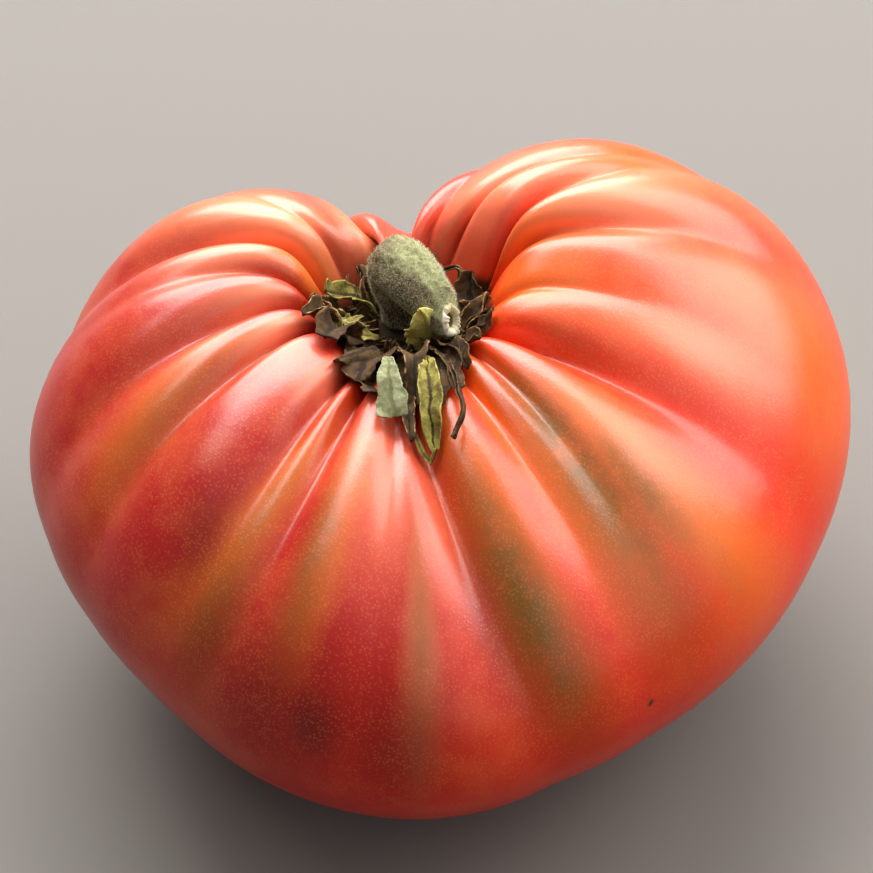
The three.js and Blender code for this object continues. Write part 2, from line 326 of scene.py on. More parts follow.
class Shader:
    """A material's node tree with short calls for the few nodes that the tomato needs."""

    MIX_FACTOR, MIX_A, MIX_B, MIX_RESULT = 0, 6, 7, 2  # sockets of a Mix node when it mixes colours

    def __init__(self, name, roughness, **constants):
        self.material = bpy.data.materials.new(name)
        self.material.use_nodes = True
        self.tree = self.material.node_tree
        self.surface = self.tree.nodes["Principled BSDF"]
        self.surface.inputs["Roughness"].default_value = roughness
        for key, value in constants.items():
            self.surface.inputs[key.replace("_", " ")].default_value = value
        self.place = self.node("ShaderNodeTexCoord").outputs["Object"]

    def node(self, kind, **settings):
        node = self.tree.nodes.new(kind)
        for key, value in settings.items():
            setattr(node, key, value)
        return node

    def feed(self, socket, value):
        if isinstance(value, bpy.types.NodeSocket):
            self.tree.links.new(value, socket)
        else:
            socket.default_value = value

    def attribute(self, name):
        return self.node("ShaderNodeAttribute", attribute_name=name).outputs["Fac"]

    def noise(self, scale, detail=2.0, roughness=0.5, distortion=0.0):
        node = self.node("ShaderNodeTexNoise")
        self.feed(node.inputs["Vector"], self.place)
        node.inputs["Scale"].default_value = scale
        node.inputs["Detail"].default_value = detail
        node.inputs["Roughness"].default_value = roughness
        node.inputs["Distortion"].default_value = distortion
        return node.outputs["Fac"]

    def cells(self, scale):
        node = self.node("ShaderNodeTexVoronoi")
        self.feed(node.inputs["Vector"], self.place)
        node.inputs["Scale"].default_value = scale
        return node.outputs["Distance"]

    def math(self, operation, first, second=0.0, clamp=False):
        node = self.node("ShaderNodeMath", operation=operation, use_clamp=clamp)
        self.feed(node.inputs[0], first)
        self.feed(node.inputs[1], second)
        return node.outputs[0]

    def ranged(self, value, low, high, to_low=0.0, to_high=1.0):
        """The value moved smoothly from the range low-high to another, and held beyond its ends."""
        node = self.node("ShaderNodeMapRange", interpolation_type="SMOOTHSTEP")
        settings = {"Value": value, "From Min": low, "From Max": high, "To Min": to_low, "To Max": to_high}
        for key, item in settings.items():
            self.feed(node.inputs[key], item)
        return node.outputs["Result"]

    def mix(self, share, first, second):
        node = self.node("ShaderNodeMix", data_type="RGBA")
        self.feed(node.inputs[self.MIX_FACTOR], share)
        self.feed(node.inputs[self.MIX_A], first)
        self.feed(node.inputs[self.MIX_B], second)
        return node.outputs[self.MIX_RESULT]

    def color(self, value):
        self.feed(self.surface.inputs["Base Color"], value)

    def bump(self, height, strength, distance):
        """One more layer of bump, over those that the surface already has."""
        node = self.node("ShaderNodeBump")
        node.inputs["Strength"].default_value = strength
        node.inputs["Distance"].default_value = distance
        self.feed(node.inputs["Height"], height)
        if self.surface.inputs["Normal"].is_linked:
            self.feed(node.inputs["Normal"], self.surface.inputs["Normal"].links[0].from_socket)
        self.feed(self.surface.inputs["Normal"], node.outputs["Normal"])


# --------------------------------------------------
# The fruit
# --------------------------------------------------

# Patches of colour on the skin: azimuth, station, half-width in degrees, half-length in stations,
# drift in degrees a station, strength. The smallest rows are scars. Some tables also paint shade or
# highlight, as said at each.
OLIVE_PATCHES = [
    (286, 0.47, 6.0, 0.11, 50, 1.00),
    (302, 0.40, 3.0, 0.05, 0, 0.50),
    (307, 0.40, 7.5, 0.13, 15, 1.00),
    (315, 0.44, 5.0, 0.06, 30, 0.80),
    (268, 0.48, 2.2, 0.11, -15, 0.60),
    (250, 0.44, 3.6, 0.06, -50, 0.75),
    (237, 0.43, 3.0, 0.07, -110, 0.55),
    (233, 0.50, 5.0, 0.06, -30, 0.65),
    (206, 0.41, 4.2, 0.07, -10, 0.45),
    (320, 0.50, 4.0, 0.05, 40, 0.25),
]
# Paler peach patches: partly the paler shoulders of the skin, partly painted highlight where the ribs face
# the lamps, and painted light on the shaded cavity wall.
PALE_AND_HIGHLIGHT_PATCHES = [
    (150, 0.30, 20.0, 0.12, 0, 0.85),
    (170, 0.34, 12.0, 0.07, 0, 0.65),
    (192, 0.31, 8.0, 0.06, 0, 0.75),
    (200, 0.37, 5.0, 0.04, 0, 0.50),
    (218, 0.31, 14.0, 0.04, 0, 0.45),
    (118, 0.26, 12.0, 0.12, 0, 0.80),
    (95, 0.25, 10.0, 0.10, 0, 0.60),
    (262, 0.38, 8.0, 0.06, 0, 0.50),
    (273, 0.40, 4.0, 0.08, 0, 0.30),
    (50, 0.28, 24.0, 0.09, 0, 0.80),
    (24, 0.36, 14.0, 0.08, 0, 0.75),
    (8, 0.42, 12.0, 0.05, 0, 0.35),
    (318, 0.42, 5.0, 0.05, 40, 0.60),
    (191, 0.30, 5.0, 0.05, 0, 0.90),
    (209, 0.31, 5.0, 0.05, 0, 0.90),
    (238, 0.31, 6.0, 0.04, -80, 0.60),
    (348, 0.42, 6.0, 0.05, 20, 0.60),
    (145, 0.18, 20.0, 0.07, 0, 0.50),
    (60, 0.20, 30.0, 0.08, 0, 0.45),
    (268, 0.48, 2.6, 0.08, -15, 0.55),
]
# Dark red patches: a dark spot on the skin, and painted shade in furrows and low on the front.
DARK_SPOT_AND_SHADE_PATCHES = [
    (252, 0.54, 4.5, 0.03, 0, 1.00),
    (244, 0.54, 14.0, 0.06, 0, 0.60),
    (227, 0.46, 4.0, 0.03, 0, 0.60),
    (264, 0.55, 6.0, 0.05, 0, 0.60),
    (278, 0.44, 2.6, 0.12, 40, 0.20),
    (279, 0.47, 3.0, 0.05, 30, 0.50),
    (303, 0.33, 5.0, 0.05, 0, 0.40),
]
# Dark brown patches: painted shade on the skin under the leaves of the calyx, partly corky tissue; the
# smallest rows are scars.
SCAR_AND_NEST_SHADE_PATCHES = [
    (205, 0.14, 14.0, 0.07, 0, 1.10),
    (228, 0.15, 18.0, 0.09, 0, 1.10),
    (262, 0.18, 16.0, 0.13, 0, 1.10),
    (278, 0.22, 7.0, 0.13, 0, 1.00),
    (292, 0.17, 10.0, 0.11, 0, 1.00),
    (318, 0.11, 24.0, 0.09, 0, 1.10),
    (350, 0.12, 26.0, 0.10, 0, 1.10),
    (20, 0.10, 26.0, 0.09, 0, 1.10),
    (60, 0.08, 30.0, 0.07, 0, 1.10),
    (247.8, 0.298, 0.9, 0.006, 0, 1.00),
    (246.4, 0.303, 0.7, 0.004, 0, 0.90),
    (330.5, 0.436, 1.2, 0.004, 0, 0.62),
    (328.5, 0.443, 1.3, 0.003, 0, 0.60),
    (303.0, 0.581, 1.0, 0.007, 0, 0.85),
]
ORANGE_PATCHES = [
    (160, 0.21, 15.0, 0.11, 20, 1.00),
    (147, 0.33, 12.0, 0.12, 0, 0.45),
    (198, 0.18, 7.0, 0.06, 0, 0.50),
    (238, 0.42, 4.5, 0.10, -110, 0.55),
    (253, 0.42, 4.0, 0.09, -50, 0.50),
    (204, 0.42, 5.0, 0.11, -10, 0.35),
    (285, 0.40, 7.0, 0.13, 55, 0.45),
    (302, 0.40, 10.0, 0.13, 50, 0.50),
    (320, 0.46, 8.0, 0.12, 60, 0.65),
    # Painted light: this row lightens the skin beside the calyx, where it lies in shade.
    (352, 0.28, 18.0, 0.08, 0, 0.55),
    (17, 0.28, 6.0, 0.08, 20, 0.65),
    (2, 0.52, 12.0, 0.10, 0, 0.45),
    (40, 0.42, 14.0, 0.10, 0, 0.45),
]
# Deeper red patches: partly the skin's own deeper red, partly painted shade along furrows and where a rib
# turns from the lamps.
CRIMSON_AND_SHADE_PATCHES = [
    (190, 0.42, 6.0, 0.10, 0, 0.80),
    (222, 0.44, 6.0, 0.12, -20, 0.80),
    (247, 0.55, 6.0, 0.05, 0, 0.90),
    (276, 0.42, 3.0, 0.12, 50, 0.60),
    (340, 0.42, 10.0, 0.07, 40, 0.35),
    (28, 0.20, 12.0, 0.06, 0, 0.35),
    (2.5, 0.451, 1.0, 0.009, 0, 0.90),
    (262, 0.50, 3.0, 0.10, -20, 0.50),
    (346, 0.34, 9.0, 0.04, 0, 0.75),
    (332, 0.34, 10.0, 0.05, 0, 0.75),
    (320, 0.35, 4.0, 0.05, 30, 0.60),
    (296, 0.40, 3.0, 0.05, 30, 0.70),
    (221, 0.40, 4.0, 0.05, -20, 0.60),
    (212, 0.49, 7.0, 0.07, -10, 0.60),
]
PATCHES = {
    "olive": OLIVE_PATCHES,
    "orange": ORANGE_PATCHES,
    "crimson_and_shade": CRIMSON_AND_SHADE_PATCHES,
    "pale_and_highlight": PALE_AND_HIGHLIGHT_PATCHES,
    "dark": DARK_SPOT_AND_SHADE_PATCHES,
    "scars_and_nest_shade": SCAR_AND_NEST_SHADE_PATCHES,
}

CRIMSON = srgb(172, 16, 9)
SCARLET = srgb(232, 52, 18)
TANGERINE = srgb(244, 126, 14)
# peach of the paler shoulders, also used as painted highlight
PEACH_AND_HIGHLIGHT = srgb(248, 146, 106)
OLIVE = srgb(120, 74, 0)
# darker red of the base, partly the skin's own and partly painted shade
UNDERSIDE_RED_AND_SHADE = srgb(188, 22, 8)
SPECKLE = srgb(240, 150, 76)
DARK_SPOT_AND_SHADE = srgb(122, 16, 6)
CORK_AND_SHADE = srgb(70, 50, 24)

# Noise scales of the skin, in features a metre
SOFT_NOISE, STREAK_NOISE, SPECKLE_NOISE, GRAIN_NOISE = 45, 220, 240, 700
SPECKLE_CELLS, SPECKLE_STRENGTH = 2500, 0.17
# The skin turns a darker red towards the base: partly its own deeper red, partly painted shade.
UNDERSIDE_SHADE_STATIONS, UNDERSIDE_SHADE_STRENGTH = (0.5, 0.72), 0.75
CORKY_AND_SHADED_STATIONS = (0.15, 0.12)  # the floor of the cavity is dark, partly corky and partly painted shade, and gives way to skin here
GLOSS_STATIONS, GLOSS_LEVELS = (0.46, 0.58), (0.5, 0.15)  # the skin shines less towards the base


def patches(rows, azimuth, station):
    """The strongest of the patches at each point of the skin."""
    total = np.zeros_like(station)
    for at, middle, width, length, drift, strength in rows:
        away = np.degrees(wrapped(azimuth - np.radians(at + drift * (station - middle)))) / width
        total = np.maximum(total, strength * np.exp(-(away**2) - ((station - middle) / length) ** 2))
    return total


def fitted(points, node):
    """Points moved and scaled so that their box is the CAD node's."""
    low, high = (np.array(corner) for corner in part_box(node))
    own_low, own_high = points.min(0), points.max(0)
    return low + (points - own_low) * (high - low) / (own_high - own_low)


def build_fruit():
    station, azimuth = np.meshgrid(
        np.arange(1, SKIN_ALONG) / SKIN_ALONG,
        -2 * np.pi * np.arange(SKIN_AROUND) / SKIN_AROUND,
        indexing="ij",
    )
    points = skin_point(azimuth, station).reshape(-1, 3)
    poles = np.array([(CALYX_X, CALYX_Y, CAVITY_FLOOR), (0, 0, 0)])
    points = fitted(np.vstack([points, poles]) * MM, "fruit")
    stations = np.concatenate([station.ravel(), [0.0, 1.0]])
    azimuths = np.concatenate([azimuth.ravel(), [0.0, 0.0]])
    attributes = {name: patches(rows, azimuths, stations) for name, rows in PATCHES.items()}
    attributes["station"] = stations
    attributes["east"] = 0.5 + 0.5 * np.cos(azimuths)
    return mesh_object("fruit_skin", points, loft_faces(SKIN_ALONG - 1, SKIN_AROUND), attributes)


def skin_material():
    shader = Shader(
        "tomato_skin",
        0.30,
        IOR=1.6,
        Subsurface_Weight=0.12,
        Subsurface_Scale=0.003,
        Subsurface_Radius=(1.0, 0.25, 0.12),
    )
    station = shader.attribute("station")
    streaky = shader.noise(STREAK_NOISE, 4, 0.6)
    soft_wander = shader.ranged(shader.noise(SOFT_NOISE, 3), 0.3, 0.7, -0.1, 0.1)
    wander = shader.math("ADD", soft_wander, shader.ranged(streaky, 0.3, 0.7, -0.05, 0.05))

    def wandering(name, amount, clamp=True):
        """A patch attribute whose edges wander by an amount."""
        return shader.math("ADD", shader.attribute(name), shader.math("MULTIPLY", wander, amount), clamp)

    ripe = shader.ranged(wandering("east", 1.0, clamp=False), 0.15, 0.95)
    color = shader.mix(ripe, CRIMSON, SCARLET)
    # Painted shade from the deeper red patches and painted highlight from the peach patches, mixed with the
    # skin's own colours.
    for name, amount, tint in (("crimson_and_shade", 1.0, CRIMSON), ("orange", 0.8, TANGERINE), ("pale_and_highlight", 0.6, PEACH_AND_HIGHLIGHT)):
        color = shader.mix(wandering(name, amount), color, tint)
    olive = shader.math("MULTIPLY", shader.attribute("olive"), shader.ranged(streaky, 0.25, 0.6, 0.7, 1.05))
    color = shader.mix(olive, color, OLIVE)
    # Painted shade: darker red towards the base, partly the skin's own deeper red.
    shaded_below = shader.ranged(station, *UNDERSIDE_SHADE_STATIONS, 0, UNDERSIDE_SHADE_STRENGTH)
    color = shader.mix(shaded_below, color, UNDERSIDE_RED_AND_SHADE)
    # Painted shade in furrows and low on the front, with a dark spot.
    color = shader.mix(wandering("dark", 0.4), color, DARK_SPOT_AND_SHADE)
    dots = shader.ranged(shader.cells(SPECKLE_CELLS), 0.50, 0.15)
    uneven = shader.ranged(shader.noise(SPECKLE_NOISE, 2), 0.3, 0.6, 0.35, 1.0)
    speckled = shader.math("MULTIPLY", shader.math("MULTIPLY", dots, uneven), SPECKLE_STRENGTH)
    color = shader.mix(speckled, color, SPECKLE)
    # Painted shade: the cavity floor and the skin under the leaves turn dark brown, partly corky tissue,
    # with real scars.
    torn = shader.ranged(wandering("scars_and_nest_shade", 0.7, clamp=False), 0.42, 0.62)
    scars_and_nest_shade = shader.math("MAXIMUM", torn, shader.ranged(station, *CORKY_AND_SHADED_STATIONS))
    shader.color(shader.mix(scars_and_nest_shade, color, CORK_AND_SHADE))
    gloss = shader.ranged(station, *GLOSS_STATIONS, *GLOSS_LEVELS)
    shader.feed(shader.surface.inputs["Specular IOR Level"], gloss)
    shader.bump(dots, 0.05, 0.0003)
    shader.bump(shader.noise(GRAIN_NOISE, 3), 0.06, 0.0004)
    return shader.material


# --------------------------------------------------
# The stalk and the disc that it stands on, measured from the calyx and the floor of the cavity
# --------------------------------------------------

# x, y, z, radius along the stalk's axis
PEDICEL = [
    (0.0, 0.0, 3.7, 2.5),
    (-0.2, 0.4, 6.4, 2.8),
    (-0.8, 1.4, 9.2, 3.5),
    (-0.6, 1.6, 11.6, 3.9),
    (0.8, -0.6, 12.3, 3.8),
    (2.1, -2.7, 12.4, 3.5),
    (3.8, -5.2, 12.1, 3.0),
    (5.2, -7.1, 11.6, 2.4),
    (6.2, -8.2, 11.2, 1.7),
]
CUT_FACES = (0.75, -0.50, 0.43)  # the stalk broke off aslant, facing this way
CUT_REACH = 0.82                 # share of the length after which the rings begin to turn to the cut
PEDICEL_RINGS, PEDICEL_AROUND = 150, 96
STALK_RIDGES = [(7, 0.022, 5), (3, 0.020, -4)]  # how many, share of the radius, radians of twist
# Streaks are noise on a cylinder of this radius and length
STREAK_HEIGHT, STREAK_RADIUS, STREAK_LENGTH = 0.07, 2.2, 3
STREAK_SCALE, STREAK_SEED = 2.0, 6
# Lumps over the stalk, and over its torn lip as shares of the lip's height: height, scale, seed
STALK_LUMPS = [(0.22, 0.35, 3), (0.10, 1.1, 5), (0.05, 2.6, 9)]
TORN_LUMPS = [(0.7, 0.9, 2), (0.8, 2.4, 4)]
# The cut end: share of its radius, and height over the plane of the cut, in millimetres
CUT_LIP = [(0.97, 0.30), (0.88, 0.55), (0.74, 0.60), (0.60, 0.45), (0.48, 0.15)]
CUT_PIT = [(0.38, -0.40), (0.28, -0.90), (0.14, -1.20)]
LIP_ALONG, PIT_ALONG = 1.1, 1.25  # what the material reads as the share of the length there

HAIR_COUNT, HAIR_SEED = 12000, 5
HAIR_LENGTH, HAIR_RADIUS = 0.45, 0.020
HAIR_LENGTHS = (0.45, 1.25)  # shortest and longest, as shares of the length
HAIR_LEAN = 0.55
HAIR_CORNERS = (0.0, 2.094, 4.189)  # angles of the three corners of its foot, in radians

RECEPTACLE_BOTTOM = 0.8  # from the cavity floor to the underside of the disc
RECEPTACLE = [(0.0, 0.0), (0.7, 0.0), (1.0, 0.4), (0.9, 0.8), (0.6, 1.0), (0.0, 1.0)]  # radius, height
RECEPTACLE_ALONG, RECEPTACLE_AROUND = 28, 48
RECEPTACLE_LUMPS = [(0.10, 3.0, 1)]  # height, scale, seed


def calyx_point():
    low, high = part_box("receptacle")
    return np.array([(low.x + high.x) / 2, (low.y + high.y) / 2, low.z - RECEPTACLE_BOTTOM * MM])


def tube_frames(centres):
    """Tangents and two side directions, without twisting, along a curve that starts upright."""
    tangents = unit(np.gradient(centres, axis=0))
    side = unit(np.cross(tangents[0], (0, 1.0, 0)))
    sides = []
    for tangent in tangents:
        side = unit(side - tangent * np.dot(side, tangent))
        sides.append(side)
    sides = np.array(sides)
    return tangents, sides, np.cross(tangents, sides)


def build_pedicel():
    """The tapered tube, with a torn rim and a hollow pith where the stalk snapped off."""
    path = smooth_path(PEDICEL, PEDICEL_RINGS)
    centres, radii = path[:, :3], path[:, 3]
    tangents, sides, others = tube_frames(centres)
    turns = 2 * np.pi * np.arange(PEDICEL_AROUND) / PEDICEL_AROUND
    share = np.linspace(0, 1, PEDICEL_RINGS)
    facing = unit(np.array(CUT_FACES))
    slant = smoothstep(share, CUT_REACH, 1)
    rings = []
    for ring in range(PEDICEL_RINGS):
        ridge = 0
        for count, depth, twist in STALK_RIDGES:
            ridge = ridge + depth * np.cos(count * turns + twist * share[ring])
        direction = np.cos(turns)[:, None] * sides[ring] + np.sin(turns)[:, None] * others[ring]
        points = centres[ring] + (radii[ring] * (1 + ridge))[:, None] * direction
        around = [STREAK_RADIUS * np.cos(turns), STREAK_RADIUS * np.sin(turns)]
        around.append(0 * turns + STREAK_LENGTH * share[ring])
        streaks = rough(np.stack(around, -1), STREAK_SCALE, STREAK_SEED)
        points = points + (lumpy(points, STALK_LUMPS) + STREAK_HEIGHT * streaks)[:, None] * direction
        ahead = (points - centres[ring]) @ facing / (tangents[ring] @ facing)
        rings.append(points - (slant[ring] * ahead)[:, None] * tangents[ring])
    rim, end = rings[-1], centres[-1]
    torn = 1 + lumpy(rim, TORN_LUMPS)
    for reach, lift in CUT_LIP:
        rings.append(end + reach * (rim - end) + (lift * torn)[:, None] * facing)
    for reach, lift in CUT_PIT:
        rings.append(end + reach * (rim - end) + lift * facing)
    rings = np.array(rings)
    along = np.concatenate([share, np.full(len(CUT_LIP), LIP_ALONG), np.full(len(CUT_PIT), PIT_ALONG)])
    pit = end + CUT_PIT[-1][1] * facing
    points = np.vstack([rings.reshape(-1, 3), centres[:1], pit]) * MM + calyx_point()
    alongs = np.concatenate([np.repeat(along, PEDICEL_AROUND), [0.0, PIT_ALONG]])
    faces = loft_faces(len(rings), PEDICEL_AROUND)
    pedicel = mesh_object("pedicel_skin", points, faces, {"along": alongs})
    grid = points[:PEDICEL_RINGS * PEDICEL_AROUND].reshape(PEDICEL_RINGS, PEDICEL_AROUND, 3)
    return pedicel, grid


def hairs(points, normals):
    """Fine cones that stand up from a grid of surface points, as vertices and faces."""
    random = np.random.default_rng(HAIR_SEED)
    rows, columns = points.shape[:2]
    row = random.uniform(0, rows - 1.001, HAIR_COUNT)
    column = random.uniform(0, columns - 1.001, HAIR_COUNT)
    i, j = row.astype(int), column.astype(int)
    f, g = (row - i)[:, None], (column - j)[:, None]

    def between(grid):
        near = grid[i, j] * (1 - f) + grid[i + 1, j] * f
        far = grid[i, j + 1] * (1 - f) + grid[i + 1, j + 1] * f
        return near * (1 - g) + far * g

    base, normal = between(points), unit(between(normals))
    lean = unit(normal + HAIR_LEAN * random.normal(size=(HAIR_COUNT, 3)))
    side = unit(np.cross(lean, random.normal(size=(HAIR_COUNT, 3))))
    other = np.cross(lean, side)
    tall = (HAIR_LENGTH * random.uniform(*HAIR_LENGTHS, HAIR_COUNT))[:, None] * MM
    corners = [base + HAIR_RADIUS * MM * (math.cos(a) * side + math.sin(a) * other) for a in HAIR_CORNERS]
    vertices = np.stack(corners + [base + tall * lean], 1).reshape(-1, 3)
    start = 4 * np.arange(HAIR_COUNT)[:, None]
    faces = (start[:, None, :] + np.array([(0, 1, 3), (1, 2, 3), (2, 0, 3)])[None]).reshape(-1, 3)
    return vertices, faces


def grid_normals(grid):
    return unit(np.cross(np.gradient(grid, axis=1), np.gradient(grid, axis=0)))


def build_receptacle():
    profile = smooth_path([(radius, height, 0.0) for radius, height in RECEPTACLE], RECEPTACLE_ALONG)[1:-1]
    turns = 2 * np.pi * np.arange(RECEPTACLE_AROUND) / RECEPTACLE_AROUND
    rings = []
    for radius, height, _ in profile:
        ring = np.stack([radius * np.cos(turns), radius * np.sin(turns), np.full_like(turns, height)], -1)
        rings.append(ring * (1 + lumpy(ring, RECEPTACLE_LUMPS))[:, None])
    points = np.vstack(rings + [[(0, 0, 0), (0, 0, 1)]])
    faces = loft_faces(len(rings), RECEPTACLE_AROUND)
    return mesh_object("receptacle_disc", fitted(points, "receptacle"), faces)


# --------------------------------------------------
# The sepals
# --------------------------------------------------

BLADE_ALONG, BLADE_HALF = 60, 9    # cross-sections, and steps from the middle to an edge
BLADE_THICKNESS = 0.32
EDGE_THINNING = 0.6                # share of the thickness that is lost at the edges
BLADE_RIB, RIB_WIDTH = 0.22, 0.16  # height, and width as a share of the half-blade
RIB_DIP = 0.35                     # share of the rib's height by which the upper face dips over it
LEFT_WAVES, RIGHT_WAVES = 2.3, 1.9
TURN_START = 0.2                   # share of the length at which twist leaves a blade as it is
SETTLED = 0.2                      # share of the length over which the crumples begin
# Ragged edges: depth, scale, and a place in the noise for each edge
TEARS = [(1.0, 9, (3, 8)), (0.6, 26, (5, 9))]
# Crumples: height, scale, and how the seed shifts the noise
CRUMPLES = [(0.30, 420, (1, 0, 1)), (0.10, 1300, (0, 1, 0))]

